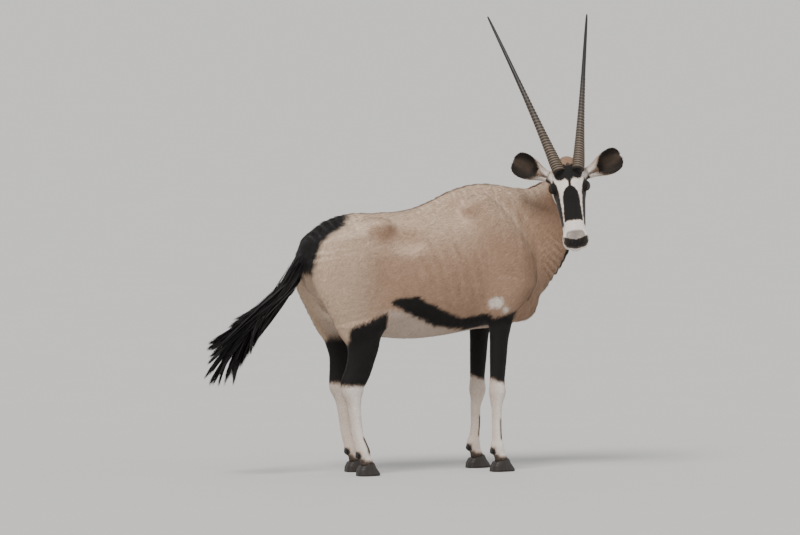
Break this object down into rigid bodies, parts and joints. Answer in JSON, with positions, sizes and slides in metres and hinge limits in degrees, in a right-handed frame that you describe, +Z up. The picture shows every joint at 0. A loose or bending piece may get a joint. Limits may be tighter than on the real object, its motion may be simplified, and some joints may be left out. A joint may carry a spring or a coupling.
{
  "type": "gemsbok",
  "caption": "Standing long-horned desert antelope with its head turned to the side, ears spread and a long tufted tail swung back.",
  "frame": {"origin": "bottom centre of the whole bounding box, on the ground under the hooves", "axes": "+X the way the body faces, +Y to its left, +Z up"},
  "size_m": [1.797, 0.634, 1.9334],
  "materials": {
    "coat": "short smooth fur",
    "pale_coat": "short white fur",
    "dark_coat": "long black hair",
    "horn": "ringed horn, polished to the tips",
    "hoof": "worn dark hoof",
    "eye": "wet dark eye"
  },
  "bodies": {
    "root": {"torso": "coat", "neck": "coat", "head": "pale_coat", "ear_left": "coat", "ear_right": "coat", "horn_left": "horn", "horn_right": "horn", "eye_left": "eye", "eye_right": "eye", "tail": "dark_coat", "foreleg_left_upper": "coat", "foreleg_left_lower": "pale_coat", "foreleg_right_upper": "coat", "foreleg_right_lower": "pale_coat", "hindleg_left_upper": "coat", "hindleg_left_lower": "pale_coat", "hindleg_right_upper": "coat", "hindleg_right_lower": "pale_coat", "hoof_fore_left_inner": "hoof", "hoof_fore_left_outer": "hoof", "hoof_fore_right_inner": "hoof", "hoof_fore_right_outer": "hoof", "hoof_hind_left_inner": "hoof", "hoof_hind_left_outer": "hoof", "hoof_hind_right_inner": "hoof", "hoof_hind_right_outer": "hoof"}
  },
  "joints": []
}
